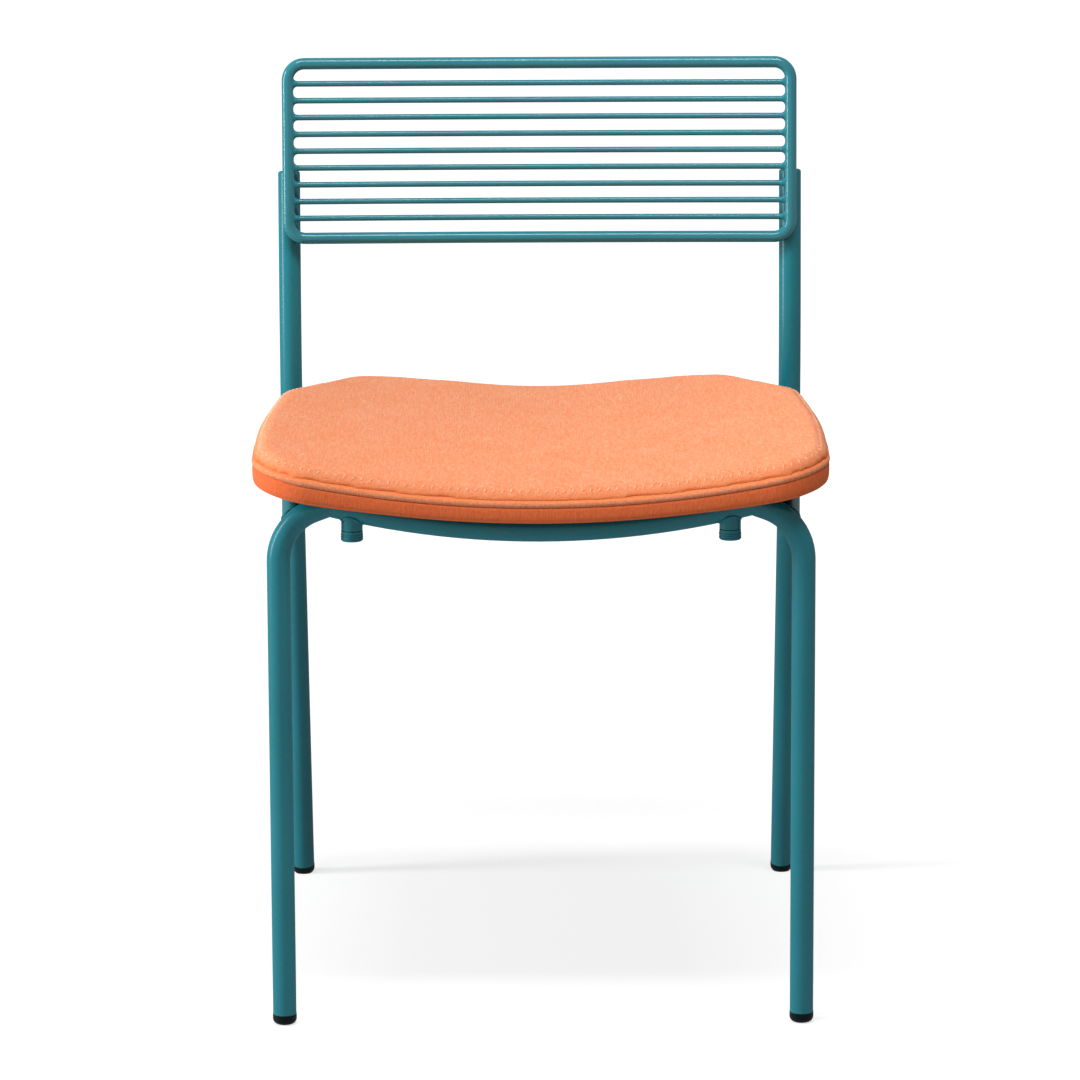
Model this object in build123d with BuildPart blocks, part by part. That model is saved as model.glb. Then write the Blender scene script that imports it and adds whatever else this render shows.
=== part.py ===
"""Dining chair: welded tube frame, wire back in a rod hoop, and an upholstered saddle seat.

The front of the chair faces -Y, +X is to the right seen from the front, and +Z is up.
The origin is on the floor, in the middle of the chair's width and depth.
Lengths are in millimetres and angles in degrees. A distance called "back" is measured
towards the rear from the line of the front legs.
"""

import math
import os

from build123d import *

os.makedirs("parts", exist_ok=True)

# Tube, rod and wire
tube_d = 19.0
tube_wall = 1.5
rod_d = 10.0
wire_d = 5.0
weld_gap = 0.2

# Width of the frame between the posts, which the other widths are measured from
post_spacing = 432.0

# Front legs, with an elbow that ends at a mitre with the front rail
front_leg_inset = 6.0
elbow_radius = 44.0
elbow_turn = 70.0
elbow_reach = 41.0
peak_height = 428.7
rail_sag = 21.0

# Rear legs, each one tube from the floor to the back
rear_foot_back = 490.0
rear_leg_slant = 15.5
knee_height = 440.0
knee_radius = 600.0
post_lean = 5.0
post_height = 650.0

# Domed caps that close the posts
cap_height = 6.5
cap_round = 2.5
cap_plug_length = 12.0
plug_clearance = 0.1

# Glides under the four legs
glide_d = 19.5
glide_height = 8.5
glide_round = 5.0
glide_plug_length = 16.0

# Back hoop and its wires
hoop_top = 743.0
hoop_height = 149.8
hoop_corner = 14.5
bow_angle = 5.5
wire_count = 9
wire_end_gap = 17.2

# Rails under the seat
rail_joint_turn = 45.0
side_rail_rise = 16.0
rear_rail_back = 335.0

# Stacking stubs under the front rail
stub_inset = 18.0
stub_d = 17.2
stub_wall = 1.5
stub_drop = 6.5
bumper_d = 17.4
bumper_height = 9.0
bumper_round = 1.5
bumper_groove = 0.7
bumper_groove_depth = 1.0
bumper_plug_length = 8.0

# Plan of the seat: front corners, widest place, shoulders and rear corners
seat_overhang = 24.0
seat_back = 374.0
seat_side_overhang = 16.0
seat_front_taper = 2.0
seat_wide_back = 95.0
shoulder_taper = 12.5
shoulder_back = 234.0
rear_corner_taper = 76.5
front_corner_radius = 45.0
side_blend = 45.0
shoulder_radius = 105.0
rear_corner_radius = 64.0

# Section of the seat: a saddle, higher at the sides and towards the rear
seat_low = 416.5
seat_slope = 2.4
saddle_radius = 1000.0
pad_front = 11.4
pad_rear = 15.1
crown_rise = 4.2
top_round = 10.5
cover_thickness = 1.5
board_thickness = 9.0
welt_drop = 1.3
welt_thickness = 3.2
welt_proud = 1.2
hem_width = 10.0
hem_gap = 0.2
cloth_thickness = 0.8
cloth_gap = 0.3
cloth_inset = 12.0
seat_gap = 0.3
slab_margin = 12.0

# Fixings that hold the seat board to the side rails and the rear rail
side_fixing_back = 70.0
rear_fixing_spacing = 240.0
spacer_d = 16.0
screw_d = 6.0
screw_clearance = 0.3
thread_clearance = 0.05
screw_head_d = 11.0
screw_head_height = 3.5
washer_d = 14.0
washer_lip = 2.5
tnut_flange_d = 18.0
tnut_flange_thickness = 1.5
tnut_sink = 2.2
tnut_barrel_d = 8.0
tnut_barrel_length = 4.2
tnut_clearance = 0.1

# Values that follow from the driving dimensions
tube_r = tube_d / 2
bore_r = tube_r - tube_wall
rod_r = rod_d / 2
post_x = post_spacing / 2
leg_x = post_x - front_leg_inset
peak_x = leg_x - elbow_reach
slant = math.radians(rear_leg_slant)
lean = math.radians(post_lean)
turn = math.radians(elbow_turn)
bow = math.radians(bow_angle)
rise_per_mm = math.tan(math.radians(seat_slope))
glide_reach = (glide_d / 2 - glide_round) * math.cos(slant) + glide_round * (1 - math.sin(slant))
front_y = (seat_overhang + welt_proud - rear_foot_back - glide_reach) / 2

# The elbow ends in a short straight run that rises to the mitre
elbow_run = (elbow_reach - elbow_radius * (1 - math.cos(turn))) / math.sin(turn)
elbow_start = peak_height - elbow_radius * math.sin(turn) - elbow_run * math.cos(turn)
joint_turn = math.radians(rail_joint_turn)
joint_x = leg_x - elbow_radius * (1 - math.cos(joint_turn))
joint_z = elbow_start + elbow_radius * math.sin(joint_turn)

# The rear tube is bent about a centre behind the chair
knee_tangent = knee_radius * math.tan((slant + lean) / 2)
knee_y = front_y + rear_foot_back - knee_height * math.tan(slant)
bend_y = knee_y + knee_tangent * math.sin(slant) + knee_radius * math.cos(slant)
bend_z = knee_height - knee_tangent * math.cos(slant) + knee_radius * math.sin(slant)

leg_mitre = Plane(origin=(peak_x, 0, 0), z_dir=(1, 0, 0))


def save(piece, name):
    """Label a finished piece and write it to its own file."""
    piece.part.label = name
    export_step(piece.part, f"parts/{name}.step")


def save_pair(piece, name):
    """Write a right-hand piece and its mirror image."""
    with BuildPart() as left:
        mirror(piece.part, about=Plane.YZ)
    save(left, f"{name}_left")
    save(piece, f"{name}_right")


def filled_tube(line, diameter):
    """Solid bar along a line, for coping the tubes that meet it."""
    with BuildPart() as bar:
        with BuildSketch(Plane(origin=line @ 0, z_dir=line % 0)):
            Circle(diameter / 2)
        sweep(path=line)
    return bar.part


def leg_point(angle):
    """Point on the right elbow's centre line, by the angle turned so far."""
    x = leg_x - elbow_radius * (1 - math.cos(angle))
    z = elbow_start + elbow_radius * math.sin(angle)
    return Vector(x, front_y, z)


def post_y(z):
    """Place of the rear tube's centre line, front to back, at a height."""
    if z < knee_height - knee_tangent * math.cos(slant):
        return front_y + rear_foot_back - z * math.tan(slant)
    if z > knee_height + knee_tangent * math.cos(lean):
        return knee_y + (z - knee_height) * math.tan(lean)
    return bend_y - math.sqrt(knee_radius**2 - (z - bend_z) ** 2)


def saddle_height(x, y, lift=0.0):
    """Height of the seat's lower surface, raised by a lift, above a place on the floor."""
    centre = seat_low + (y - front_y + seat_overhang) * rise_per_mm + lift
    radius = saddle_axis_z - centre
    return saddle_axis_z - math.sqrt(radius**2 - x**2)


# Front legs: shin, elbow and a short run up to the mitre
elbow_end = leg_point(turn)
run_end = elbow_end + Vector(-math.sin(turn), 0, math.cos(turn)) * (elbow_run + tube_d)
with BuildLine() as leg_line:
    Line((leg_x, front_y, glide_height), leg_point(0))
    ThreePointArc(leg_point(0), leg_point(turn / 2), elbow_end)
    Line(elbow_end, run_end)

with BuildPart() as front_leg:
    with BuildSketch(Plane(origin=leg_line.line @ 0, z_dir=(0, 0, 1))):
        Circle(tube_r)
        Circle(bore_r, mode=Mode.SUBTRACT)
    sweep(path=leg_line.line)
    split(bisect_by=leg_mitre, keep=Keep.TOP)
save_pair(front_leg, "front_leg")

# Front rail: a sagging arc between the two mitres
sag_radius = (peak_x**2 + rail_sag**2) / (2 * rail_sag)
sag_centre_z = peak_height - rail_sag + sag_radius


def front_rail_point(x):
    """Point on the front rail's centre line."""
    return Vector(x, front_y, sag_centre_z - math.sqrt(sag_radius**2 - x**2))


with BuildLine() as rail_line:
    ThreePointArc(
        front_rail_point(-peak_x - tube_r),
        front_rail_point(0),
        front_rail_point(peak_x + tube_r),
    )

with BuildPart() as front_rail:
    with BuildSketch(Plane(origin=rail_line.line @ 0, z_dir=rail_line.line % 0)):
        Circle(tube_r)
        Circle(bore_r, mode=Mode.SUBTRACT)
    sweep(path=rail_line.line)
    split(bisect_by=leg_mitre, keep=Keep.BOTTOM)
    split(bisect_by=Plane(origin=(-peak_x, 0, 0), z_dir=(1, 0, 0)), keep=Keep.TOP)
save(front_rail, "front_rail")

# Rear legs: slanted below the seat, leaning back above it
foot_axis = Vector(0, -math.sin(slant), math.cos(slant))
post_axis = Vector(0, math.sin(lean), math.cos(lean))
rear_foot = Vector(post_x, front_y + rear_foot_back, 0)
knee = Vector(post_x, knee_y, knee_height)
post_top = knee + post_axis * ((post_height - cap_height - knee_height) / math.cos(lean))
with BuildLine() as post_line:
    FilletPolyline(rear_foot + foot_axis * glide_height, knee, post_top, radius=knee_radius)

with BuildPart() as rear_leg:
    with BuildSketch(Plane(origin=post_line.line @ 0, z_dir=foot_axis)):
        Circle(tube_r)
        Circle(bore_r, mode=Mode.SUBTRACT)
    sweep(path=post_line.line)
save_pair(rear_leg, "rear_leg")

# Post caps: a dome over the tube's end and a plug inside it
with BuildPart() as post_cap:
    with BuildSketch(Plane(origin=post_top, z_dir=post_axis)):
        Circle(tube_r)
    extrude(amount=cap_height)
    fillet(post_cap.faces().sort_by(Axis.Z)[-1].edges(), cap_round)
    with BuildSketch(Plane(origin=post_top, z_dir=-post_axis)):
        Circle(bore_r - plug_clearance)
    extrude(amount=cap_plug_length)
save_pair(post_cap, "post_cap")


def glide(seat, axis):
    """Glide on a leg's lower end: a rounded foot, cut flat at the floor, and a plug."""
    with BuildPart() as piece:
        with BuildSketch(Plane(origin=seat, z_dir=axis * -1)):
            Circle(glide_d / 2)
        extrude(amount=glide_height)
        fillet(piece.faces().sort_by(Axis.Z)[0].edges(), glide_round)
        with BuildSketch(Plane(origin=seat, z_dir=axis)):
            Circle(bore_r - plug_clearance)
        extrude(amount=glide_plug_length)
        split(bisect_by=Plane.XY, keep=Keep.TOP)
    return piece


save_pair(glide(Vector(leg_x, front_y, glide_height), Vector(0, 0, 1)), "front_glide")
save_pair(glide(rear_foot + foot_axis * glide_height, foot_axis), "rear_glide")

# Back hoop: side bars in front of the posts, and top and bottom bars that bow backwards
hoop_base = Vector(0, knee_y, knee_height) - Vector(0, math.cos(lean), -math.sin(lean)) * (
    tube_r + rod_r + weld_gap
)
hoop_plane = Plane(origin=hoop_base, x_dir=(1, 0, 0), z_dir=(0, -math.cos(lean), math.sin(lean)))
hoop_high = (hoop_top - hoop_base.Z) / math.cos(lean)
hoop_low = hoop_high - hoop_height
bar_x = post_x - hoop_corner * math.cos(bow)
corner_depth = hoop_corner * math.sin(bow)
bow_depth = corner_depth + bar_x * math.tan(bow / 2)


def hoop_point(x, up, depth=0.0):
    """Point in the hoop's own plane: across, up, and back from the side bars."""
    return hoop_plane.from_local_coords(Vector(x, up, -depth))


def hoop_corner_arc(side, up, inward):
    """Corner between a side bar and the top or bottom bar."""
    half = hoop_corner * (1 - math.sqrt(0.5))
    start = hoop_point(side * post_x, up + inward * hoop_corner)
    middle = hoop_point(
        side * (post_x - half * math.cos(bow)), up + inward * half, half * math.sin(bow)
    )
    return ThreePointArc(start, middle, hoop_point(side * bar_x, up, corner_depth))


with BuildLine() as hoop_line:
    for side in (-1, 1):
        Line(
            hoop_point(side * post_x, hoop_low + hoop_corner),
            hoop_point(side * post_x, hoop_high - hoop_corner),
        )
        hoop_corner_arc(side, hoop_high, -1)
        hoop_corner_arc(side, hoop_low, 1)
    for up in (hoop_low, hoop_high):
        ThreePointArc(
            hoop_point(-bar_x, up, corner_depth),
            hoop_point(0, up, bow_depth),
            hoop_point(bar_x, up, corner_depth),
        )
hoop_wire = hoop_line.wires()[0]

with BuildPart() as back_hoop:
    with BuildSketch(Plane(origin=hoop_wire @ 0, z_dir=hoop_wire % 0)):
        Circle(rod_r)
    sweep(path=hoop_wire)
save(back_hoop, "back_hoop")

# Back wires: bowed like the bars, cut square and welded to the side bars
wire_pitch = (hoop_height - 2 * wire_end_gap) / (wire_count - 1)
wire_x = post_x - rod_r - weld_gap
bow_radius = (post_x**2 + bow_depth**2) / (2 * bow_depth)
wire_end_depth = bow_depth - bow_radius + math.sqrt(bow_radius**2 - wire_x**2)
for index in range(wire_count):
    wire_up = hoop_high - wire_end_gap - index * wire_pitch
    with BuildLine() as wire_line:
        ThreePointArc(
            hoop_point(-wire_x, wire_up, wire_end_depth),
            hoop_point(0, wire_up, bow_depth),
            hoop_point(wire_x, wire_up, wire_end_depth),
        )
    with BuildPart() as back_wire:
        with BuildSketch(Plane(origin=wire_line.line @ 0, z_dir=wire_line.line % 0)):
            Circle(wire_d / 2)
        sweep(path=wire_line.line)
    save(back_wire, f"back_wire_{index + 1}")

# Side rails: from behind the elbows to the front of the rear legs
joint = Vector(joint_x, front_y, joint_z)
rail_end_z = joint_z + side_rail_rise
rail_end = Vector(post_x, post_y(rail_end_z), rail_end_z)
with BuildLine() as side_line:
    Line(joint, rail_end)
side_dir = (rail_end - joint).normalized()


def rail_point(back):
    """Point on the right side rail's centre line, a distance behind the front legs."""
    return joint + side_dir * (back / side_dir.Y)


side_fixing = rail_point(side_fixing_back)
rear_joint = rail_point(rear_rail_back)
rear_fixing = Vector(rear_fixing_spacing / 2, rear_joint.Y, rear_joint.Z)
fixing_points = [
    Vector(side * point.X, point.Y, point.Z) for point in (side_fixing, rear_fixing) for side in (1, -1)
]

with BuildPart() as side_rail:
    with BuildSketch(Plane(origin=joint, z_dir=side_dir)):
        Circle(tube_r)
        Circle(bore_r, mode=Mode.SUBTRACT)
    sweep(path=side_line.line)
    add(filled_tube(leg_line.line, tube_d), mode=Mode.SUBTRACT)
    add(filled_tube(post_line.line, tube_d), mode=Mode.SUBTRACT)
    with Locations(*fixing_points):
        Cylinder(screw_d / 2 + screw_clearance, 2 * tube_d, mode=Mode.SUBTRACT)
save_pair(side_rail, "side_rail")

# Rear rail: straight across, coped to the side rails
with BuildPart() as side_cores:
    add(filled_tube(side_line.line, tube_d))
    mirror(about=Plane.YZ)

with BuildLine() as rear_line:
    Line(rear_joint, (-rear_joint.X, rear_joint.Y, rear_joint.Z))

with BuildPart() as rear_rail:
    with BuildSketch(Plane(origin=rear_joint, z_dir=(-1, 0, 0))):
        Circle(tube_r)
        Circle(bore_r, mode=Mode.SUBTRACT)
    sweep(path=rear_line.line)
    add(side_cores.part, mode=Mode.SUBTRACT)
    with Locations(*fixing_points):
        Cylinder(screw_d / 2 + screw_clearance, 2 * tube_d, mode=Mode.SUBTRACT)
save(rear_rail, "rear_rail")

with BuildPart() as rail_cores:
    add(side_cores.part)
    add(filled_tube(rear_line.line, tube_d))

# Stacking stubs and their bumpers, under the front rail
stub_top = front_rail_point(peak_x - stub_inset)
stub_end = stub_top - Vector(0, 0, tube_r + stub_drop)
stub_bore_r = stub_d / 2 - stub_wall
with BuildPart() as stack_stub:
    with BuildSketch(Plane(origin=stub_end, z_dir=(0, 0, 1))):
        Circle(stub_d / 2)
        Circle(stub_bore_r, mode=Mode.SUBTRACT)
    extrude(amount=tube_r + stub_drop)
    add(filled_tube(rail_line.line, tube_d), mode=Mode.SUBTRACT)
save_pair(stack_stub, "stack_stub")

groove_end = stub_end - Vector(0, 0, bumper_groove)
with BuildPart() as stack_bumper:
    with BuildSketch(Plane(origin=stub_end, z_dir=(0, 0, -1))):
        Circle(stub_d / 2 - bumper_groove_depth)
    extrude(amount=bumper_groove)
    with BuildSketch(Plane(origin=groove_end, z_dir=(0, 0, -1))):
        Circle(bumper_d / 2)
    extrude(amount=bumper_height - bumper_groove)
    fillet(stack_bumper.faces().sort_by(Axis.Z)[0].edges(), bumper_round)
    with BuildSketch(Plane(origin=stub_end, z_dir=(0, 0, 1))):
        Circle(stub_bore_r - plug_clearance)
    extrude(amount=bumper_plug_length)
    add(filled_tube(rail_line.line, tube_d), mode=Mode.SUBTRACT)
save_pair(stack_bumper, "stack_bumper")

# Seat: every layer is a piece of one saddle, cut to the plan outline
seat_front_y = front_y - seat_overhang
seat_wide_y = front_y + seat_wide_back
seat_rear_y = front_y + seat_back
seat_wide_x = post_x + seat_side_overhang
front_taper_angle = math.atan2(seat_front_taper, seat_wide_y - seat_front_y)
shoulder_taper_angle = math.atan2(shoulder_taper, shoulder_back - seat_wide_back)
side_radius = side_blend / math.tan((front_taper_angle + shoulder_taper_angle) / 2)
saddle_axis_z = seat_low + saddle_radius
slab_x = seat_wide_x + slab_margin
saddle_half = math.degrees(math.asin(slab_x / saddle_radius))
peak_top = peak_height + tube_r / math.sin(turn)
board_lift = peak_top + seat_gap + cloth_thickness + cloth_gap - saddle_height(peak_x, front_y)
board_top = board_lift + board_thickness
cloth_top = board_lift - cloth_gap
saddle_axis = Axis((0, 0, saddle_axis_z), (0, 1, 0))
saddle_plane = Plane(
    origin=(0, 0, saddle_axis_z),
    x_dir=(0, 1, 0),
    z_dir=(math.cos(math.radians(saddle_half)), 0, math.sin(math.radians(saddle_half))),
)


def seat_column(inset):
    """Upright block with the plan outline of the seat, drawn in by an inset."""
    with BuildPart() as column:
        with BuildSketch(Plane.XY.offset(seat_low - slab_margin)):
            with BuildLine():
                half = FilletPolyline(
                    (0, seat_front_y),
                    (seat_wide_x - seat_front_taper, seat_front_y),
                    (seat_wide_x, seat_wide_y),
                    (seat_wide_x - shoulder_taper, front_y + shoulder_back),
                    (seat_wide_x - rear_corner_taper, seat_rear_y),
                    (0, seat_rear_y),
                    radius=[front_corner_radius, side_radius, shoulder_radius, rear_corner_radius],
                )
                mirror(half, about=Plane.YZ)
            make_face()
            offset(amount=-inset)
        extrude(amount=slab_x)
    return column.part


def seat_slab(low, high=None, drop=0.0):
    """Saddle layer between two lifts, or up to the crowned top lowered by a drop."""
    front = seat_front_y - slab_margin
    rear = seat_rear_y + slab_margin

    def at(y, lift):
        return (y, saddle_height(0, y, lift) - saddle_axis_z)

    with BuildPart() as slab:
        with BuildSketch(saddle_plane):
            with BuildLine():
                Line(at(front, low), at(rear, low))
                if high is None:
                    top_front = at(front, board_top + pad_front - drop)
                    top_rear = at(rear, board_top + pad_rear - drop)
                    SagittaArc(top_rear, top_front, -crown_rise)
                else:
                    top_front = at(front, high)
                    top_rear = at(rear, high)
                    Line(top_rear, top_front)
                Line(at(rear, low), top_rear)
                Line(top_front, at(front, low))
            make_face()
        revolve(axis=saddle_axis, revolution_arc=2 * saddle_half)
    return slab.part


def seat_form(inset, low):
    """Crowned cushion shape with a rounded top edge."""
    with BuildPart() as form:
        add(seat_column(inset))
        add(seat_slab(low, drop=inset), mode=Mode.INTERSECT)
        fillet(form.faces().filter_by(GeomType.TORUS).edges(), top_round - inset)
    return form.part


def seat_ring(outer_inset, inner_inset, low, high):
    """Ring that follows the seat's outline between two lifts."""
    with BuildPart() as ring:
        add(seat_column(outer_inset))
        add(seat_column(inner_inset), mode=Mode.SUBTRACT)
        add(seat_slab(low, high), mode=Mode.INTERSECT)
    return ring.part


def upright(points, diameter, low, high):
    """Upright round bars, one at each fixing, between heights given by functions of the point."""
    with BuildPart() as bars:
        for point in points:
            with BuildSketch(Plane(origin=(point.X, point.Y, low(point)))):
                Circle(diameter / 2)
            extrude(amount=high(point) - low(point))
    return bars.part


def flange_low(point):
    """Height of the lower face of a T-nut's flange."""
    return saddle_height(point.X, point.Y, board_top) - tnut_sink - tnut_flange_thickness


def flange_high(point):
    """Height of the upper face of a T-nut's flange."""
    return flange_low(point) + tnut_flange_thickness


def washer_low(point):
    """Height of the lower face of a saddle washer, under its rail."""
    return point.Z - tube_r - washer_lip


def above_board(point):
    """Height clear above the board."""
    return saddle_height(point.X, point.Y, board_top) + tube_d


def rail_axis_height(point):
    """Height of the rail's centre line at a fixing."""
    return point.Z


tnut_hole_d = tnut_barrel_d + 2 * tnut_clearance
flange_hole_d = tnut_flange_d + 2 * tnut_clearance
screw_hole_d = screw_d + 2 * screw_clearance

with BuildPart() as seat_board:
    add(seat_column(cover_thickness))
    add(seat_slab(board_lift, board_top), mode=Mode.INTERSECT)
    add(upright(fixing_points, tnut_hole_d, rail_axis_height, above_board), mode=Mode.SUBTRACT)
    add(upright(fixing_points, flange_hole_d, flange_low, above_board), mode=Mode.SUBTRACT)
save(seat_board, "seat_board")

with BuildPart() as seat_foam:
    add(seat_form(cover_thickness, board_top))
save(seat_foam, "seat_foam")

# Cover: top panel and side band, with the welt cord between them and a hem under the board
welt_high = board_top - welt_drop + welt_thickness / 2
welt_low = welt_high - welt_thickness

with BuildPart() as cover_top:
    add(seat_form(0.0, welt_high))
    add(seat_form(cover_thickness, welt_low), mode=Mode.SUBTRACT)
save(cover_top, "seat_cover_top")

with BuildPart() as cover_band:
    add(seat_ring(0.0, cover_thickness, 0.0, welt_low))
    add(seat_ring(0.0, hem_width, 0.0, board_lift - hem_gap))
save(cover_band, "seat_cover_band")

with BuildPart() as seat_welt:
    add(seat_ring(-welt_proud, cover_thickness, welt_low, welt_high))
save(seat_welt, "seat_welt")

# Fixings: spacer, screw, saddle washer and T-nut at each of the four places
with BuildPart() as seat_spacers:
    add(upright(fixing_points, spacer_d, rail_axis_height, above_board))
    add(upright(fixing_points, screw_hole_d, rail_axis_height, above_board), mode=Mode.SUBTRACT)
    add(seat_slab(board_lift, board_top + 2 * tube_d), mode=Mode.SUBTRACT)
    add(rail_cores.part, mode=Mode.SUBTRACT)
save(seat_spacers, "seat_spacers")

with BuildPart() as seat_screws:
    add(upright(fixing_points, screw_d, washer_low, flange_high))
    for point in fixing_points:
        with BuildSketch(Plane(origin=(point.X, point.Y, washer_low(point)), z_dir=(0, 0, -1))):
            Circle(screw_head_d / 2)
        extrude(amount=screw_head_height)
save(seat_screws, "seat_screws")

with BuildPart() as seat_washers:
    add(upright(fixing_points, washer_d, washer_low, rail_axis_height))
    add(upright(fixing_points, screw_hole_d, washer_low, rail_axis_height), mode=Mode.SUBTRACT)
    add(rail_cores.part, mode=Mode.SUBTRACT)
save(seat_washers, "seat_washers")


def barrel_low(point):
    """Height of the lower end of a T-nut's barrel."""
    return flange_low(point) - tnut_barrel_length


with BuildPart() as seat_tnuts:
    add(upright(fixing_points, tnut_flange_d, flange_low, flange_high))
    add(upright(fixing_points, tnut_barrel_d, barrel_low, flange_high))
    add(
        upright(fixing_points, screw_d + 2 * thread_clearance, barrel_low, above_board),
        mode=Mode.SUBTRACT,
    )
save(seat_tnuts, "seat_tnuts")

with BuildPart() as base_cloth:
    add(seat_column(cloth_inset))
    add(seat_slab(cloth_top - cloth_thickness, cloth_top), mode=Mode.INTERSECT)
    add(
        upright(fixing_points, spacer_d + 2 * screw_clearance, rail_axis_height, above_board),
        mode=Mode.SUBTRACT,
    )
save(base_cloth, "seat_base_cloth")
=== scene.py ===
# %% [markdown]
# A dining chair is dressed here in its finishes. The steel frame, the wire back and the feet
# come as finished solids, and this lesson adds what those leave out: paint, welds, the
# upholstered seat with its piping and stitches, and the light to see them by.
# Every piece stays in the solids' own frame: metres, +Z up, the chair's front towards -Y.

# %% Load the frame
import math

import bmesh
import bpy
from mathutils import Matrix, Vector
from mathutils.bvhtree import BVHTree
from mathutils.kdtree import KDTree


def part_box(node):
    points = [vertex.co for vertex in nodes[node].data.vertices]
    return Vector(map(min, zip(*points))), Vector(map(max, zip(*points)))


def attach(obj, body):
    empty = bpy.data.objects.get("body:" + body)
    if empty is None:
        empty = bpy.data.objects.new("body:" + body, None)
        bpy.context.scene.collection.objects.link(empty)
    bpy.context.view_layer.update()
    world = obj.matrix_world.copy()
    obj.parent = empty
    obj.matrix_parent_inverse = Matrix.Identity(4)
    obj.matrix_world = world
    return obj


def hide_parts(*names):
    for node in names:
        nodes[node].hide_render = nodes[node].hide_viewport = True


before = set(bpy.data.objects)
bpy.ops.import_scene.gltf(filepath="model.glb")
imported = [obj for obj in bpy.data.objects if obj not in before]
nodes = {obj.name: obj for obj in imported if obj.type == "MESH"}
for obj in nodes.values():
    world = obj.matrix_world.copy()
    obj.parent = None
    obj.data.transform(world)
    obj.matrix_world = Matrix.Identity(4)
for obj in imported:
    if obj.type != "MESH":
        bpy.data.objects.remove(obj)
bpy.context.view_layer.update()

MM = 0.001
scene = bpy.context.scene
print("solids in the frame:", len(nodes))

# %% [markdown]
# The new pieces take their places from the solids. A box round a leg gives the tube's radius
# and the line of the front legs, and a box round the cover gives the seat's lowest edge. The
# few sizes that a box can't tell, such as corner radii, are written once here.

# %% Measures
leg_low, leg_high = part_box("front_leg_right")
post_low, post_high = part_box("rear_leg_right")
cover_low, cover_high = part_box("seat_cover_band")
TUBE_R = (leg_high.y - leg_low.y) / 2
FRONT_Y = (leg_high.y + leg_low.y) / 2
POST_X = (post_high.x + post_low.x) / 2
SEAT_LOW = cover_low.z
SEAT_FRONT_Y = cover_low.y
SEAT_REAR_Y = cover_high.y
print(f"tube radius {TUBE_R / MM:.2f} mm, front legs at y {FRONT_Y:.4f}, seat from z {SEAT_LOW:.4f}")

# %% [markdown]
# A camera with a long lens, a few metres away and a little above the seat, sees the chair
# almost straight on. The pitch shows the top of the pad, and a slight roll comes from a camera
# that wasn't quite level. A long lens keeps the four legs nearly parallel.

# %% Camera
CAMERA_AWAY = 4.090
CAMERA_HEIGHT = 1.190
CAMERA_PITCH = math.radians(10.94)
CAMERA_ROLL = math.radians(-0.25)
CAMERA_SHIFT = -0.0010
FOCAL_SHARE = 5215 / 1080
SENSOR_MM = 36.0

camera_data = bpy.data.cameras.new("camera")
camera_data.sensor_width = SENSOR_MM
camera_data.lens = SENSOR_MM * FOCAL_SHARE
camera_data.shift_x = CAMERA_SHIFT
camera = bpy.data.objects.new("camera", camera_data)
stand = Matrix.Translation((0.0, FRONT_Y - CAMERA_AWAY, CAMERA_HEIGHT))
tilt = Matrix.Rotation(math.pi / 2 - CAMERA_PITCH, 4, "X")
camera.matrix_world = stand @ tilt @ Matrix.Rotation(CAMERA_ROLL, 4, "Z")
scene.collection.objects.link(camera)
scene.camera = camera
scene.view_settings.view_transform = "Standard"
print(f"lens {camera_data.lens:.1f} mm")

# %% [markdown]
# Materials are node trees. One helper adds a node, sets its options and fills its inputs:
# a socket is linked, and a plain value is written on the input itself. Numbers that are the
# same all over a surface go straight onto the shader, where an export can find them.

# %% Node helpers


def shade(tree, kind, inputs=None, **options):
    """Adds one shader node. Inputs that are sockets are linked, others are set."""
    made = tree.nodes.new("ShaderNode" + kind)
    for name, value in options.items():
        setattr(made, name, value)
    for key, value in (inputs or {}).items():
        if isinstance(value, bpy.types.NodeSocket):
            tree.links.new(value, made.inputs[key])
        else:
            made.inputs[key].default_value = value
    return made


def start_material(name, **constants):
    """A material with a Principled shader, and the object's own coordinates to pattern it by."""
    material = bpy.data.materials.new(name)
    material.use_nodes = True
    tree = material.node_tree
    surface = tree.nodes["Principled BSDF"]
    for key, value in constants.items():
        surface.inputs[key.replace("_", " ")].default_value = value
    return material, tree, surface, shade(tree, "TexCoord").outputs["Object"]


def noise(tree, place, scale, detail=2.0, stretch=(1, 1, 1)):
    """Soft noise, with cells of about one over the scale, drawn out by a stretch."""
    turned = shade(tree, "Mapping", {"Vector": place, "Scale": stretch})
    inputs = {"Vector": turned.outputs[0], "Scale": scale, "Detail": detail}
    return shade(tree, "TexNoise", inputs).outputs["Fac"]


def spread(tree, value, low=0.3, high=0.7, to_low=0.0, to_high=1.0):
    """Maps one range of values onto another. The first is by default where noise mostly lies."""
    inputs = {
        "Value": value,
        "From Min": low,
        "From Max": high,
        "To Min": to_low,
        "To Max": to_high,
    }
    return shade(tree, "MapRange", inputs).outputs["Result"]


def mix_colour(tree, factor, first, second):
    """Mixes two colours by a factor."""
    return shade(tree, "Mix", {0: factor, 6: first, 7: second}, data_type="RGBA").outputs[2]


def combine(tree, first, second, operation="ADD"):
    """Joins two values by a sum, or by another operation."""
    return shade(tree, "Math", {0: first, 1: second}, operation=operation).outputs[0]


def weigh(tree, first, first_weight, second, second_weight):
    """Adds two values up, each times its weight."""
    heavy = combine(tree, first, first_weight, "MULTIPLY")
    return combine(tree, heavy, combine(tree, second, second_weight, "MULTIPLY"))


def bump(tree, height, strength, distance):
    """Normal from a height."""
    inputs = {"Height": height, "Strength": strength, "Distance": distance}
    return shade(tree, "Bump", inputs).outputs["Normal"]


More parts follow.
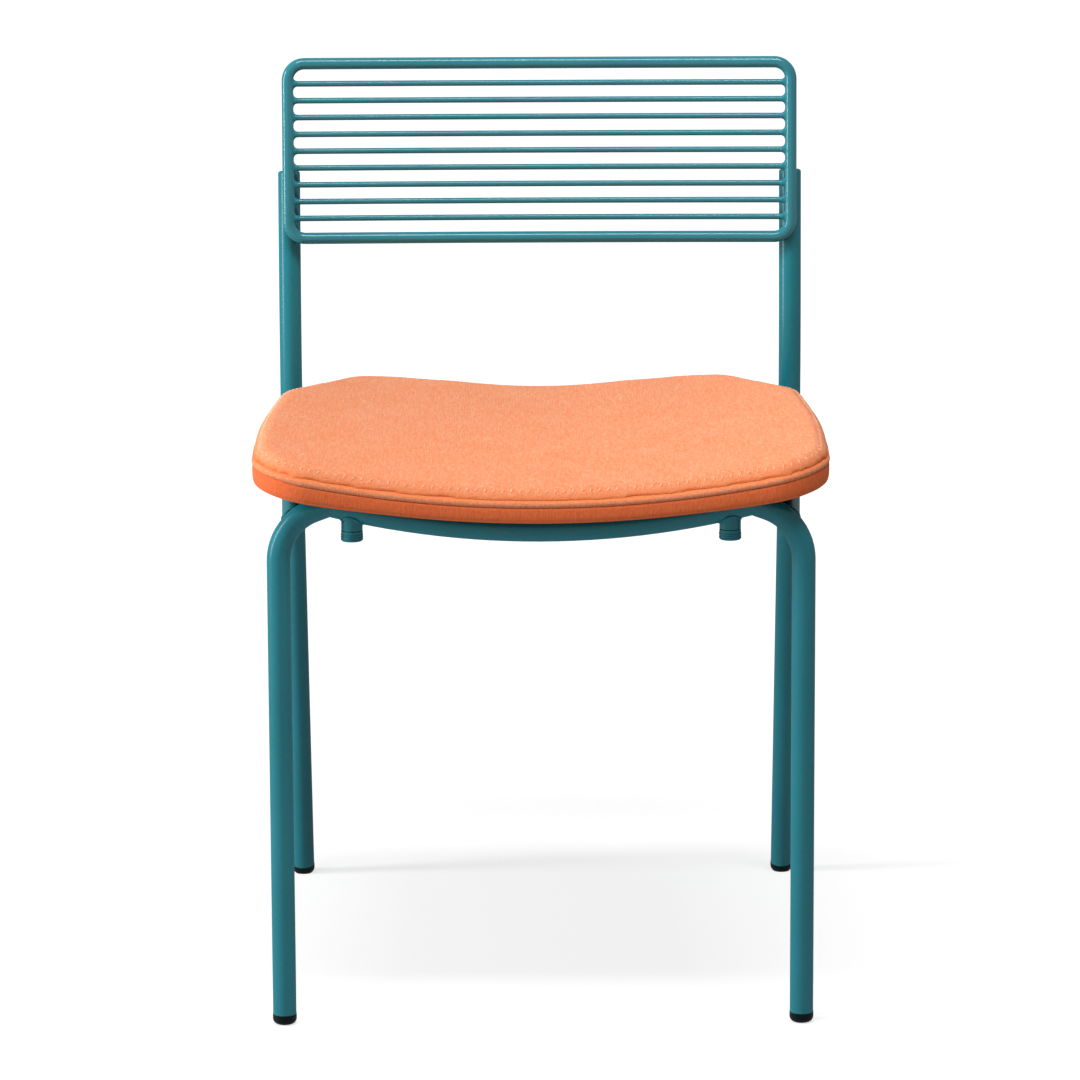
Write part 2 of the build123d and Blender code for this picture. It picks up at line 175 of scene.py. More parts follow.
# %% [markdown]
# The frame's finish is a satin powder coat. Powder melts into a skin with a fine orange peel,
# so the bump is soft noise under a millimetre across, and the gloss and tone drift a little
# along a tube. The skin is a light coat over a matt colour, which keeps the edges of the tubes
# deep. The rods of the back get a fuller, smoother skin, since paint draws tight round thin
# wire. The same recipe paints the welds and, slightly duller, the plastic bumpers.

# %% Paint and plastic
TEAL_DEEP = (0.012, 0.196, 0.246, 1)
TEAL_LIGHT = (0.019, 0.238, 0.292, 1)
RUBBER_DARK = (0.001, 0.003, 0.004, 1)
RUBBER_LIGHT = (0.003, 0.007, 0.008, 1)
PLASTIC_DARK = (0.006, 0.006, 0.007, 1)
PLASTIC_LIGHT = (0.014, 0.014, 0.015, 1)
WEAR = 0.06


def powder_coat(name, skin, satin, dull=0.0):
    """Matt colour under a thin satin skin, with a fine orange peel."""
    material, tree, surface, place = start_material(
        name, Specular_IOR_Level=0.0, Coat_Weight=skin, Coat_IOR=2.0, Coat_Roughness=satin
    )
    drift = spread(tree, noise(tree, place, scale=9.0, detail=3.0))
    speck = spread(tree, noise(tree, place, scale=420.0), low=0.35, high=0.65)
    tone = weigh(tree, drift, 0.75, speck, 0.25)
    tree.links.new(mix_colour(tree, tone, TEAL_DEEP, TEAL_LIGHT), surface.inputs["Base Color"])
    patches = noise(tree, place, scale=70.0)
    gloss = spread(tree, patches, to_low=0.45 + dull, to_high=0.60 + dull)
    tree.links.new(gloss, surface.inputs["Roughness"])
    grain = noise(tree, place, scale=1100.0, detail=1.0)
    peel = bump(tree, grain, strength=0.05, distance=0.15 * MM)
    tree.links.new(peel, surface.inputs["Normal"])
    return material


def moulded(name, dark, light, roughness, shine):
    """Moulded rubber or plastic, with a fine spark-eroded texture."""
    material, tree, surface, place = start_material(name, Specular_IOR_Level=shine)
    cloud = spread(tree, noise(tree, place, scale=160.0, detail=3.0))
    tree.links.new(mix_colour(tree, cloud, dark, light), surface.inputs["Base Color"])
    patches = noise(tree, place, scale=45.0)
    wear = spread(tree, patches, to_low=roughness - WEAR, to_high=roughness + WEAR)
    tree.links.new(wear, surface.inputs["Roughness"])
    grain = noise(tree, place, scale=1600.0, detail=1.0)
    eroded = bump(tree, grain, strength=0.2, distance=0.1 * MM)
    tree.links.new(eroded, surface.inputs["Normal"])
    return material


paint = powder_coat("teal_powder_coat", skin=0.15, satin=0.24)
wire_paint = powder_coat("teal_wire_coat", skin=0.28, satin=0.16)
bumper_plastic = powder_coat("teal_plastic", skin=0.15, satin=0.3, dull=0.08)
glide_rubber = moulded("black_rubber", RUBBER_DARK, RUBBER_LIGHT, roughness=0.55, shine=0.08)
spacer_plastic = moulded("black_plastic", PLASTIC_DARK, PLASTIC_LIGHT, roughness=0.45, shine=0.3)
print("painted and moulded finishes made")

# %% [markdown]
# The seat's cloth is a soft orange weave with a short nap. Two drawn-out noises give the lighter
# slubs along both thread directions, a third adds the pale flecks of the open nap, and wave
# bands give the weave itself. Light and shade are painted into the colour by the surface's own
# upward slope: where the cloth lies flat on top it takes a paler tone, a painted sheen of light
# from above, and down the sides a deeper orange, a painted shade. On the piping it is the other
# way round, so its front carries the painted light.
# A wave texture turns twenty radians per unit of its scale, from which the thread's width follows.

# %% Cloth
THREAD = 1.3 * MM
WAVE_RATE = 20
SHEEN_TINT = (1.0, 0.80, 0.66, 1)


def weave(name, side, top, along, across, sheen):
    """Woven cloth. Side and top are pairs of deep and light tones: the side pair is painted shade
    for steep faces and the top pair painted light for faces that look up. The two stretches draw
    its slubs out along the warp and the weft."""
    material, tree, surface, place = start_material(
        name,
        Roughness=0.85,
        Specular_IOR_Level=0.15,
        Sheen_Weight=sheen,
        Sheen_Roughness=0.45,
        Sheen_Tint=SHEEN_TINT,
    )
    warp_slub = spread(tree, noise(tree, place, scale=620.0, stretch=along), low=0.42, high=0.68)
    weft_slub = spread(tree, noise(tree, place, scale=620.0, stretch=across), low=0.42, high=0.68)
    slubs = combine(tree, warp_slub, weft_slub, "MAXIMUM")
    cloud = spread(tree, noise(tree, place, scale=26.0, detail=3.0), low=0.25, high=0.75)
    grain = noise(tree, place, scale=800.0, detail=1.0, stretch=(1, 0.3, 1))
    fleck = spread(tree, grain, low=0.52, high=0.68, to_high=0.45)
    tone = combine(tree, weigh(tree, slubs, 0.58, cloud, 0.16), fleck)
    # Painted light and shade: faces that look up get the top tones, steep faces the side tones.
    slope = shade(tree, "SeparateXYZ", {0: shade(tree, "NewGeometry").outputs["Normal"]})
    painted_light_share = spread(tree, slope.outputs["Z"], low=0.25, high=0.85)
    shaded_tone = mix_colour(tree, tone, *side)
    lit_tone = mix_colour(tree, tone, *top)
    tree.links.new(mix_colour(tree, painted_light_share, shaded_tone, lit_tone), surface.inputs["Base Color"])
    wave = {"Vector": place, "Scale": 2 * math.pi / (WAVE_RATE * THREAD), "Distortion": 1.6}
    warp = shade(tree, "TexWave", wave, bands_direction="X").outputs["Fac"]
    weft = shade(tree, "TexWave", wave, bands_direction="Y").outputs["Fac"]
    threads = combine(tree, warp, weft, "MAXIMUM")
    height = combine(tree, combine(tree, threads, 0.6, "MULTIPLY"), slubs)
    woven = bump(tree, height, strength=0.5, distance=0.35 * MM)
    tree.links.new(woven, surface.inputs["Normal"])
    return material


# Painted light and shade in the cloth tones: the pad's side pair is painted shade and its top pair a
# painted sheen of light from above. The band is the same cloth, made deeper still as painted shade for
# a band that faces forward under the seat's edge. The piping swaps the pad's pairs, so its front is
# painted light.
PAD_SHADE_TONES = ((0.97, 0.225, 0.066, 1), (1.0, 0.305, 0.110, 1))
PAD_LIT_TONES = ((0.96, 0.250, 0.088, 1), (1.0, 0.455, 0.262, 1))
BAND_SHADE_TONES = ((0.95, 0.168, 0.047, 1), (1.0, 0.228, 0.078, 1))

pad_cloth = weave(
    "orange_pad_cloth", PAD_SHADE_TONES, PAD_LIT_TONES, along=(1, 0.12, 1), across=(0.4, 0.8, 1), sheen=0.15
)
piping_cloth = weave(
    "orange_piping_cloth", PAD_LIT_TONES, PAD_SHADE_TONES, along=(1, 1, 0.5), across=(1, 1, 1), sheen=0.15
)
band_cloth = weave(
    "orange_band_cloth", BAND_SHADE_TONES, PAD_SHADE_TONES, along=(1, 1, 0.22), across=(1, 1, 0.5), sheen=0.08
)
print("seat cloths made")

# %% [markdown]
# The thread is thicker and lighter than the cloth, with a twist. Under the seat there are a
# black felted base cloth, birch plywood and zinc-plated fixings, which show from low angles.
# Plywood takes long drawn-out noise for its grain, and zinc is metal with cloudy roughness.

# %% Thread, wood, metal, foam and felt
THREAD_DEEP, THREAD_LIGHT = (0.96, 0.46, 0.27, 1), (1.0, 0.66, 0.48, 1)
BIRCH_DEEP, BIRCH_LIGHT = (0.36, 0.21, 0.10, 1), (0.66, 0.46, 0.27, 1)
ZINC_DEEP, ZINC_LIGHT = (0.48, 0.50, 0.52, 1), (0.68, 0.69, 0.70, 1)
FOAM_DEEP, FOAM_LIGHT = (0.55, 0.47, 0.33, 1), (0.80, 0.72, 0.55, 1)
FELT_DEEP, FELT_LIGHT = (0.004, 0.004, 0.005, 1), (0.022, 0.022, 0.024, 1)


def thread_finish(name):
    """Twisted sewing thread."""
    material, tree, surface, place = start_material(name, Roughness=0.7, Specular_IOR_Level=0.1)
    twist = noise(tree, place, scale=1500.0, detail=1.0)
    colour = mix_colour(tree, twist, THREAD_DEEP, THREAD_LIGHT)
    tree.links.new(colour, surface.inputs["Base Color"])
    spun = bump(tree, twist, strength=0.4, distance=0.1 * MM)
    tree.links.new(spun, surface.inputs["Normal"])
    return material


def birch(name):
    """Plywood with a long grain across the seat."""
    material, tree, surface, place = start_material(name, Roughness=0.55, Specular_IOR_Level=0.35)
    grain = noise(tree, place, scale=220.0, detail=4.0, stretch=(0.06, 1, 1))
    colour = mix_colour(tree, grain, BIRCH_DEEP, BIRCH_LIGHT)
    tree.links.new(colour, surface.inputs["Base Color"])
    grained = bump(tree, grain, strength=0.2, distance=0.1 * MM)
    tree.links.new(grained, surface.inputs["Normal"])
    return material


def zinc(name):
    """Bright zinc plating with a cloudy shine."""
    material, tree, surface, place = start_material(name, Metallic=1.0)
    cloud = noise(tree, place, scale=260.0, detail=3.0)
    colour = mix_colour(tree, cloud, ZINC_DEEP, ZINC_LIGHT)
    tree.links.new(colour, surface.inputs["Base Color"])
    shine = spread(tree, cloud, to_low=0.22, to_high=0.42)
    tree.links.new(shine, surface.inputs["Roughness"])
    return material


def felt(name, dark, light, scale):
    """Felted fibres: fine noise drawn out in two directions."""
    material, tree, surface, place = start_material(name, Roughness=0.95, Specular_IOR_Level=0.1)
    along = noise(tree, place, scale, detail=3.0, stretch=(0.3, 1, 1))
    across = noise(tree, place, scale, detail=3.0, stretch=(1, 0.3, 1))
    fibres = combine(tree, combine(tree, along, across), 0.5, "MULTIPLY")
    tree.links.new(mix_colour(tree, fibres, dark, light), surface.inputs["Base Color"])
    matted = bump(tree, fibres, strength=0.5, distance=0.2 * MM)
    tree.links.new(matted, surface.inputs["Normal"])
    return material


thread = thread_finish("orange_thread")
plywood = birch("birch_plywood")
zinc_steel = zinc("zinc_plate")
foam = felt("pale_foam", FOAM_DEEP, FOAM_LIGHT, scale=900.0)
base_felt = felt("black_base_cloth", FELT_DEEP, FELT_LIGHT, scale=500.0)
print("thread, plywood, zinc, foam and base cloth made")

# %% [markdown]
# Each solid now takes the finish of the thing it is. The names of the solids start with what
# they are, so a short table of beginnings is enough.

# %% Finish the solids
FINISHES = {
    "back_hoop": wire_paint,
    "back_wire": wire_paint,
    "front_glide": glide_rubber,
    "rear_glide": glide_rubber,
    "stack_bumper": bumper_plastic,
    "seat_board": plywood,
    "seat_foam": foam,
    "seat_spacers": spacer_plastic,
    "seat_screws": zinc_steel,
    "seat_washers": zinc_steel,
    "seat_tnuts": zinc_steel,
}

for name, solid in nodes.items():
    finish = next((made for start, made in FINISHES.items() if name.startswith(start)), paint)
    solid.data.materials.clear()
    solid.data.materials.append(finish)
print("solids finished:", len(nodes))

# %% [markdown]
# A finished piece is linked to the scene, rides on the chair's one body and takes its finish as
# its material. Faces are shaded smooth, since nothing made here has flat facets.

# %% Piece helper


def finish_piece(name, mesh, material):
    """Makes a shown piece of a mesh, or of a bmesh, which is freed."""
    if isinstance(mesh, bmesh.types.BMesh):
        shape = mesh
        mesh = bpy.data.meshes.new(name)
        shape.to_mesh(mesh)
        shape.free()
    mesh.name = name
    mesh.shade_smooth()
    mesh.materials.clear()
    mesh.materials.append(material)
    piece = bpy.data.objects.new(name, mesh)
    scene.collection.objects.link(piece)
    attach(piece, "root")
    print(f"{name}: {len(mesh.polygons)} faces")
    return piece


# %% [markdown]
# The seat is cut to one plan outline: widest a little behind the front legs, with a shoulder
# further back from which the sides turn in. Drawn as eight corners and one face, it gets its
# round corners from a vertex bevel, whose offset is the run of the tangent at the wanted radius.
# Long edges are then divided, because every layer of the seat bends over a saddle: a shallow
# trough that runs from front to back and rises towards the rear.

# %% Seat outline and saddle
SEAT_WIDE_X = 232 * MM
SEAT_WIDE_Y = FRONT_Y + 95 * MM
SHOULDER_Y = FRONT_Y + 234 * MM
FRONT_TAPER = 2 * MM
SHOULDER_TAPER = 12.5 * MM
REAR_TAPER = 76.5 * MM
FRONT_CORNER_R = 45 * MM
SIDE_R = 840 * MM
SHOULDER_R = 105 * MM
REAR_CORNER_R = 64 * MM
CORNER_STEPS = 16
SADDLE_R = 1000 * MM
SEAT_SLOPE = math.tan(math.radians(2.4))
RIM_STEP = 4 * MM
SADDLE_AXIS_Z = SEAT_LOW + SADDLE_R


def saddle_height(x, y, lift):
    """Height of the saddle, raised by a lift, over a place on the floor."""
    radius = SADDLE_R - (y - SEAT_FRONT_Y) * SEAT_SLOPE - lift
    return SADDLE_AXIS_Z - math.sqrt(radius**2 - x**2)


def draw_outline():
    """Plan outline of the seat, counter-clockwise, as points and outward directions."""
    right = [
        Vector((SEAT_WIDE_X - FRONT_TAPER, SEAT_FRONT_Y)),
        Vector((SEAT_WIDE_X, SEAT_WIDE_Y)),
        Vector((SEAT_WIDE_X - SHOULDER_TAPER, SHOULDER_Y)),
        Vector((SEAT_WIDE_X - REAR_TAPER, SEAT_REAR_Y)),
    ]
    corners = right + [Vector((-corner.x, corner.y)) for corner in reversed(right)]
    radii = (FRONT_CORNER_R, SIDE_R, SHOULDER_R, REAR_CORNER_R)
    bm = bmesh.new()
    verts = [bm.verts.new((*corner, 0)) for corner in corners]
    bm.faces.new(verts)
    for index, radius in enumerate(radii + radii[::-1]):
        arriving = corners[index] - corners[index - 1]
        leaving = corners[(index + 1) % len(corners)] - corners[index]
        run = radius * math.tan(arriving.angle(leaving) / 2)
        bmesh.ops.bevel(
            bm,
            geom=[verts[index]],
            offset=run,
            segments=CORNER_STEPS,
            profile=0.5,
            affect="VERTICES",
            material=-1,
        )
    for edge in list(bm.edges):
        cuts = int(edge.calc_length() / RIM_STEP)
        if cuts:
            bmesh.ops.subdivide_edges(bm, edges=[edge], cuts=cuts)
    bm.faces.ensure_lookup_table()
    points = [vert.co.xy.copy() for vert in bm.faces[0].verts]
    bm.free()
    outward = []
    for index in range(len(points)):
        along = (points[(index + 1) % len(points)] - points[index - 1]).normalized()
        outward.append(Vector((along.y, -along.x)))
    return points, outward


outline, outward = draw_outline()


def rim(inset, lift):
    """The outline drawn in by an inset, as a closed line on the saddle at a lift."""
    line = []
    for point, out in zip(outline, outward):
        place = point - out * inset
        line.append(Vector((place.x, place.y, saddle_height(place.x, place.y, lift))))
    return line


def bridge_rims(rims, closed, bm=None):
    """Ring of faces from rim to rim, and from the last back to the first where it is closed."""
    if bm is None:
        bm = bmesh.new()
    loops = []
    for line in rims:
        verts = [bm.verts.new(point) for point in line]
        loops.append([bm.edges.new((verts[i - 1], verts[i])) for i in range(len(verts))])
    pairs = list(zip(loops, loops[1:]))
    if closed:
        pairs.append((loops[-1], loops[0]))
    for first, second in pairs:
        bmesh.ops.bridge_loops(bm, edges=first + second)
    bmesh.ops.recalc_face_normals(bm, faces=bm.faces)
    return bm


length = sum((outline[i] - outline[i - 1]).length for i in range(len(outline)))
print(f"outline of {len(outline)} points, {length:.3f} m round")

# %% [markdown]
# The pad is foam under a tight cover. It starts as a copy of the foam solid, a little thinner
# than the finished pad. A voxel remesh gives it an even mesh, and a cloth simulation with
# pressure inside swells it as stuffing does, while the underside stays pinned to the board.
# The swelling is held under a soft limit, so that the pad keeps its size.

# %% Pad
BOARD_TOP_LIFT = 17.31 * MM
START_SHARE = 0.80
VOXEL = 4.5 * MM
PINNED = 2.0 * MM
SWELL_LIMIT = 5.0 * MM
SIM_FRAMES = 20
PRESSURE = 4.0
MERGE = 0.01 * MM


def board_top(place):
    """Height of the board under a place on the seat."""
    return saddle_height(place.x, place.y, BOARD_TOP_LIFT)


def mesh_after(piece):
    """A piece's mesh with its modifiers applied."""
    graph = bpy.context.evaluated_depsgraph_get()
    return bpy.data.meshes.new_from_object(piece.evaluated_get(graph))


def start_pad():
    """The foam, merged, thinned towards the board and remeshed evenly."""
    bm = bmesh.new()
    bm.from_mesh(nodes["seat_foam"].data)
    bmesh.ops.remove_doubles(bm, verts=bm.verts, dist=MERGE)
    for vert in bm.verts:
        base = board_top(vert.co)
        vert.co.z = base + (vert.co.z - base) * START_SHARE
    mesh = bpy.data.meshes.new("pad_start")
    bm.to_mesh(mesh)
    bm.free()
    pad = bpy.data.objects.new("pad_start", mesh)
    scene.collection.objects.link(pad)
    even = pad.modifiers.new("even", "REMESH")
    even.mode = "VOXEL"
    even.voxel_size = VOXEL
    remeshed = mesh_after(pad)
    pad.modifiers.clear()
    pad.data = remeshed
    return pad


def swell(pad):
    """Blows the pad up by cloth simulation, with its underside held."""
    held = pad.vertex_groups.new(name="held")
    for vert in pad.data.vertices:
        if vert.co.z < board_top(vert.co) + PINNED:
            held.add([vert.index], 1.0, "REPLACE")
    cloth = pad.modifiers.new("stuffing", "CLOTH")
    cloth.settings.vertex_group_mass = "held"
    cloth.settings.use_pressure = True
    cloth.settings.uniform_pressure_force = PRESSURE
    cloth.settings.effector_weights.gravity = 0.0
    for number in range(1, SIM_FRAMES + 1):
        scene.frame_set(number)
    swollen = [vert.co.copy() for vert in mesh_after(pad).vertices]
    scene.frame_set(1)
    pad.modifiers.clear()
    for vert, end in zip(pad.data.vertices, swollen):
        move = end - vert.co
        vert.co += move * SWELL_LIMIT / (SWELL_LIMIT + move.length)


pad = start_pad()
print("pad starts with", len(pad.data.vertices), "points")
swell(pad)

# %% [markdown]
# After the simulation the pad is smoothed, subdivided once and drawn to its cover. The cover's
# solid has the cut size, so a point keeps a little slack from its outer side and no more. The
# lower edge is tucked down and out to where the piping holds it. The front edge is eased off
# for the knees, and the foam stands a little fuller under each thigh. A row of stitches then
# runs round the upper edge and pulls the cloth down into the foam: points near that line sink
# by a soft dip that fades within a few millimetres.

# %% Cover and stitched line on the pad
COVER_SLACK = 0.7 * MM
SMOOTH_PASSES = 3
SMOOTH_FACTOR = 0.5
ROUNDING = 0.6
INNER_SHARE = 0.9
UNDERSIDE_Z = -0.6
TOP_Z = 0.2
TUCK_INSET = 6.0 * MM
TUCK_RISE = 5.0 * MM
TUCK_DROP = 1.8 * MM
TUCK_EDGE = 0.4 * MM
EASE_IN = 1.2 * MM
EASE_DROP = 1.5 * MM
EASE_RISE = 6.0 * MM
EASE_WIDTH = 10.0 * MM
THIGH_X = 78 * MM
THIGH_WIDTH = 42 * MM
THIGH_SWELL = 1.8 * MM
STITCH_INSET = 6.0 * MM
STITCH_DIP = 0.6 * MM
DIP_WIDTH = 2.0 * MM

outline_tree = KDTree(len(outline))
for index, point in enumerate(outline):
    outline_tree.insert((point.x, point.y, 0), index)
outline_tree.balance()


def inset_of(place):
    """How far a place lies inside the outline, in plan, and the way out."""
    flat = Vector((place.x, place.y))
    index = outline_tree.find((place.x, place.y, 0))[1]
    return (outline[index] - flat).dot(outward[index]), outward[index].to_3d()


def surface_of(mesh, keep=None):
    """A mesh's faces, or those that a test keeps, to cast rays at and measure from."""
    faces = [face for face in mesh.polygons if keep is None or keep(face)]
    return BVHTree.FromPolygons([vert.co for vert in mesh.vertices], [face.vertices for face in faces])


def is_outer(face):
    """Whether a face of the cover looks away from the board just inside of it."""
    middle = Vector((0, (SEAT_FRONT_Y + SEAT_REAR_Y) / 2, 0))
    inside = middle.lerp(face.center, INNER_SHARE)
    inside.z = board_top(inside)
    return face.normal.dot(face.center - inside) > 0


def even_out(bm, verts, passes):
    """Evens a shape, or a part of it, out."""
    for number in range(passes):
        bmesh.ops.smooth_vert(
            bm,
            verts=verts,
            factor=SMOOTH_FACTOR,
            use_axis_x=True,
            use_axis_y=True,
            use_axis_z=True,
        )


def fit_cover(bm):
    """Draws the pad's top and sides to the outer side of the cover, apart from some slack."""
    cover = surface_of(nodes["seat_cover_top"].data, is_outer)
    gaps = []
    bm.normal_update()
    for vert in bm.verts:
        if vert.normal.z > UNDERSIDE_Z:
            spot, normal, _, gap = cover.find_nearest(vert.co)
            gaps.append((vert.co - spot).dot(normal) / MM)
            if gap > COVER_SLACK:
                vert.co = spot + (vert.co - spot) * (COVER_SLACK / gap)
    mean = sum(gaps) / len(gaps)
    print(f"pad stood {mean:.2f} mm off its cover, {min(gaps):.2f} to {max(gaps):.2f}")


def tuck_edge(bm):
    """Pulls the pad's lower edge down and out to the piping, and evens it out there."""
    edge = []
    for vert in bm.verts:
        height = vert.co.z - board_top(vert.co)
        inset, out = inset_of(vert.co)
        if inset < TUCK_INSET and height < TUCK_RISE:
            share = (1 - height / TUCK_RISE) * min(1, 2 - 2 * inset / TUCK_INSET)
            vert.co += out * max(inset - TUCK_EDGE, 0) * min(share, 1)
            vert.co.z -= TUCK_DROP * share
            edge.append(vert)
    even_out(bm, edge, SMOOTH_PASSES)


def ease_and_fill(bm):
    """Slopes the pad's front edge back and fills the foam under the thighs."""
    middle_y = (SEAT_FRONT_Y + SEAT_REAR_Y) / 2
    for vert in bm.verts:
        height = vert.co.z - board_top(vert.co)
        inset, out = inset_of(vert.co)
        raised = min(max(height / EASE_RISE, 0), 1)
        near = math.exp(-((inset / EASE_WIDTH) ** 2)) * max(-out.y, 0) ** 2 * raised
        thigh = math.exp(-(((abs(vert.co.x) - THIGH_X) / THIGH_WIDTH) ** 2)) * raised
        back = min(max((vert.co.y - middle_y) / (SEAT_REAR_Y - middle_y), 0), 1)
        vert.co -= out * EASE_IN * near
        vert.co.z += THIGH_SWELL * thigh * back - EASE_DROP * near


def sew_pad(pad):
    """Subdivides the pad, draws it to its cover, shapes it and dips it along the stitched line."""
    bm = bmesh.new()
    bm.from_mesh(pad.data)
    even_out(bm, bm.verts, SMOOTH_PASSES)
    bmesh.ops.subdivide_edges(bm, edges=bm.edges, cuts=1, use_grid_fill=True, smooth=ROUNDING)
    fit_cover(bm)
    even_out(bm, bm.verts, 1)
    tuck_edge(bm)
    ease_and_fill(bm)
    bm.normal_update()
    for vert in bm.verts:
        if vert.normal.z > TOP_Z:
            away = (inset_of(vert.co)[0] - STITCH_INSET) / DIP_WIDTH
            vert.co -= vert.normal * STITCH_DIP * math.exp(-(away**2))
    return bm


pad_shape = sew_pad(pad)
pad_surface = BVHTree.FromBMesh(pad_shape)
bpy.data.objects.remove(pad)
seat_pad = finish_piece("seat_pad", pad_shape, pad_cloth)
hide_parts("seat_foam", "seat_cover_top")

# %% [markdown]
# Each stitch is a short, plump grain of thread that lies steeply across the dip, as thread does
# where it pulls a seam together. Small drawn-out spheres make them: a matrix turns each one on
# the slope of the pad, where a ray from above finds the surface.

# %% Stitches
STITCH_PITCH = 7.0 * MM
STITCH_LENGTH = 4.2 * MM
STITCH_THICK = 1.1 * MM
STITCH_SLANT = math.radians(70)
RAY_DROP = 60 * MM


def walk(line, pitch):
    """Evenly spaced places along a closed line, with the direction of the line there."""
    total = sum((line[i] - line[i - 1]).length for i in range(len(line)))
    count = round(total / pitch)
    step = total / count
    places = []
    gone = 0.0
    for index in range(len(line)):
        start = line[index]
        run = line[(index + 1) % len(line)] - start
        while len(places) * step < gone + run.length and len(places) < count:
            share = (len(places) * step - gone) / run.length
            places.append((start + run * share, run.normalized()))
        gone += run.length
    return places


def sew_stitches():
    """A row of stitches round the top of the pad."""
    bm = bmesh.new()
    for place, along in walk(rim(STITCH_INSET, BOARD_TOP_LIFT), STITCH_PITCH):
        above = place + Vector((0, 0, RAY_DROP))
        spot, normal = pad_surface.ray_cast(above, Vector((0, 0, -1)))[:2]
        along = (along - normal * along.dot(normal)).normalized()
        along = Matrix.Rotation(STITCH_SLANT, 3, normal) @ along
        side = normal.cross(along)
        turn = Matrix((along, side, normal)).transposed().to_4x4()
        size = Matrix.Diagonal((STITCH_LENGTH / 2, STITCH_THICK / 2, STITCH_THICK / 2, 1))
        lay = Matrix.Translation(spot) @ turn @ size
        bmesh.ops.create_uvsphere(bm, u_segments=8, v_segments=5, radius=1.0, matrix=lay)
    return bm


finish_piece("seat_topstitch", sew_stitches(), thread)

# %% [markdown]
# The cover's side band hangs from the piping, bulges a little and rolls under the board's edge.
# Its section is a short list of insets and lifts, and each pair becomes a rim of the outline.
# Bridging rim to rim is the quickest way to a ring that bends over the saddle, and the ends of
# the section meet, so the band is a closed shape. The piping is made likewise: a flattened cord
# with a flange that is sewn in under the pad. The band's upper edge draws in below the cord,
# which leaves the dark line of a seam.

# %% Side band and piping
BAND_SECTION = [
    (2.6, 13.6), (1.2, 13.4), (0.0, 12.9), (-0.35, 11.4), (-0.4, 8.0), (-0.3, 5.0),
    (0.1, 2.4), (1.0, 0.6), (2.6, 0.0), (6.0, 0.2), (8.6, 1.0), (9.8, 3.0),
    (10.0, 6.0), (9.6, 7.6), (6.0, 7.6), (3.2, 8.2), (2.6, 11.0),
]
PIPING_SECTION = [
    (-0.8, 15.2), (-0.7, 16.5), (-0.1, 17.5), (0.8, 18.1), (1.6, 18.8), (2.8, 19.6),
    (4.2, 19.0), (4.2, 16.4), (2.2, 14.0), (0.8, 13.2), (-0.1, 13.4), (-0.6, 14.2),
]

CORNER_SAG = 1.8 * MM
SAG_FROM_X = 110 * MM
SAG_FULL_X = 215 * MM
SAG_LIFT = 8 * MM


def sag(point, lift):
    """Lets the lower band hang a little deeper at the corners, where the cloth is gathered."""
    along = min(max((abs(point.x) - SAG_FROM_X) / (SAG_FULL_X - SAG_FROM_X), 0), 1)
    low = max(1 - lift / SAG_LIFT, 0)
    point.z -= CORNER_SAG * along * along * (3 - 2 * along) * low
    return point


band_rims = []
for inset, lift in BAND_SECTION:
    band_rims.append([sag(point, lift * MM) for point in rim(inset * MM, lift * MM)])
band_shape = bridge_rims(band_rims, closed=True)
band = finish_piece("seat_band", band_shape, band_cloth)
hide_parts("seat_cover_band")

piping_rims = [rim(inset * MM, lift * MM) for inset, lift in PIPING_SECTION]
piping_shape = bridge_rims(piping_rims, closed=True)
piping = finish_piece("seat_piping", piping_shape, piping_cloth)
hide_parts("seat_welt")
for ring in (band, piping):
    smooth = ring.modifiers.new("smooth", "SUBSURF")
    smooth.levels = 1
    smooth.render_levels = 1

# %% [markdown]
# A thin black base cloth closes the underside. It is one flat cut, stretched over the board and
# stapled, so it is a single sheet: rims that shrink towards the middle, bridged and then filled.
# The staples are short bars with rounded edges that press into it along its border.

# %% Base cloth and staples
CLOTH_INSET = 12 * MM
CLOTH_LIFT = 7.6 * MM
CLOTH_SHARES = (1.0, 0.94, 0.85, 0.7, 0.55, 0.4, 0.25, 0.1)
CLOTH_THICK = 0.6 * MM
MIDDLE_R = 100 * MM
STAPLE_INSET = 16 * MM
STAPLE_PITCH = 32 * MM
STAPLE_SIZE = Vector((11, 1.3, 0.8)) * MM
STAPLE_DROP = 0.3 * MM
STAPLE_ROUND = 0.25 * MM


def shrunk_rim(share):
    """The base cloth's border, shrunk towards the middle of the seat."""
    middle = Vector((0, (SEAT_FRONT_Y + SEAT_REAR_Y) / 2, 0))
    line = []
    for point in rim(CLOTH_INSET, CLOTH_LIFT):
        place = middle + (point - middle) * share
        line.append(Vector((place.x, place.y, saddle_height(place.x, place.y, CLOTH_LIFT))))
    return line


def lay_base_cloth():
    """The base cloth as one sheet."""
    bm = bridge_rims([shrunk_rim(share) for share in CLOTH_SHARES], closed=False)
    border = [edge for edge in bm.edges if edge.is_boundary]
    inner = [edge for edge in border if edge.verts[0].co.xy.length < MIDDLE_R]
    bmesh.ops.contextual_create(bm, geom=inner)
    bmesh.ops.recalc_face_normals(bm, faces=bm.faces)
    return bm


def drive_staples():
    """Staples round the base cloth's border."""
    bm = bmesh.new()
    for place, along in walk(rim(STAPLE_INSET, CLOTH_LIFT - STAPLE_DROP), STAPLE_PITCH):
        side = Vector((-along.y, along.x, 0)).normalized()
        turn = Matrix((along, side, along.cross(side))).transposed().to_4x4()
        size = Matrix.Diagonal((*STAPLE_SIZE, 1))
        bmesh.ops.create_cube(bm, size=1.0, matrix=Matrix.Translation(place) @ turn @ size)
    bmesh.ops.bevel(
        bm,
        geom=bm.edges,
        offset=STAPLE_ROUND,
        segments=2,
        profile=0.5,
        affect="EDGES",
        material=-1,
    )
    return bm


